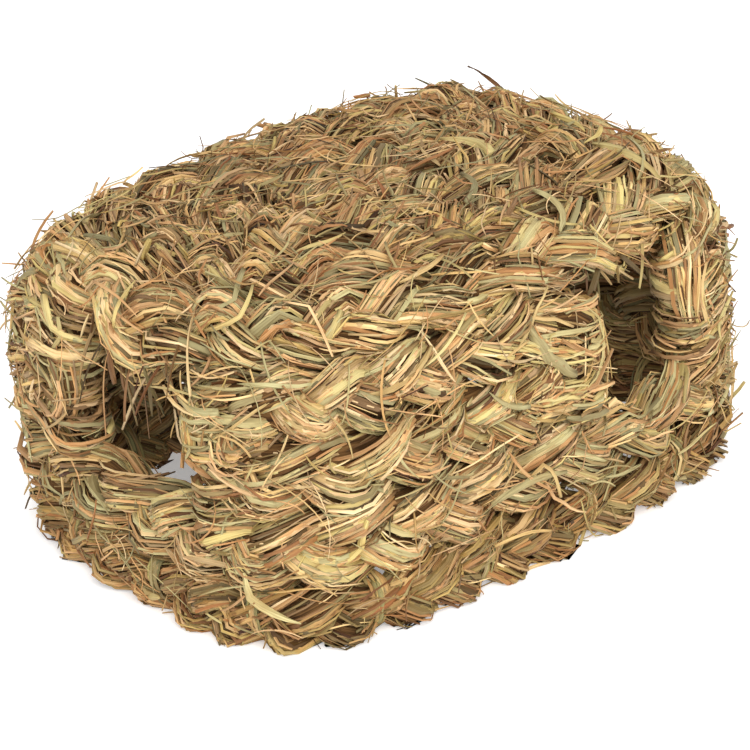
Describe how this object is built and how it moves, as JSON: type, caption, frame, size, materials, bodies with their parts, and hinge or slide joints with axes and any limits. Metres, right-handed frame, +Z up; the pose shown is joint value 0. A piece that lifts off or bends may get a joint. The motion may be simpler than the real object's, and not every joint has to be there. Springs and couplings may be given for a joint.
{
  "type": "plaited grass small-pet nest",
  "caption": "Loaf-shaped floorless nest of coiled flat plaits of dried grass, with a rounded roof and an entrance in one short and one long wall.",
  "frame": {"origin": "on the ground, under the middle of the footprint", "axes": "+X along the length, away from the short wall with the end entrance; the long wall with the side entrance faces -Y; +Z up"},
  "size_m": [0.33, 0.258, 0.168],
  "materials": {
    "wall_grass": "dry pale straw and sage-green blades, matt",
    "roof_grass": "dry brownish straw, matt",
    "ground_grass": "dry straw, matt",
    "tie_grass": "twisted grey-green grass, matt"
  },
  "bodies": {
    "root": {"ground_row": "ground_grass", "sill_row": "wall_grass", "front_panel": "wall_grass", "back_panel": "wall_grass", "lintel_row": "wall_grass", "roof_rim_row": "roof_grass", "roof_inner_row": "roof_grass", "roof_centre_row": "roof_grass", "tie_01": "tie_grass", "tie_02": "tie_grass", "tie_03": "tie_grass", "tie_04": "tie_grass", "tie_05": "tie_grass", "tie_06": "tie_grass", "tie_07": "tie_grass", "tie_08": "tie_grass", "tie_09": "tie_grass", "tie_10": "tie_grass", "tie_11": "tie_grass", "tie_12": "tie_grass", "tie_13": "tie_grass", "tie_14": "tie_grass", "tie_15": "tie_grass", "tie_16": "tie_grass"}
  },
  "joints": []
}
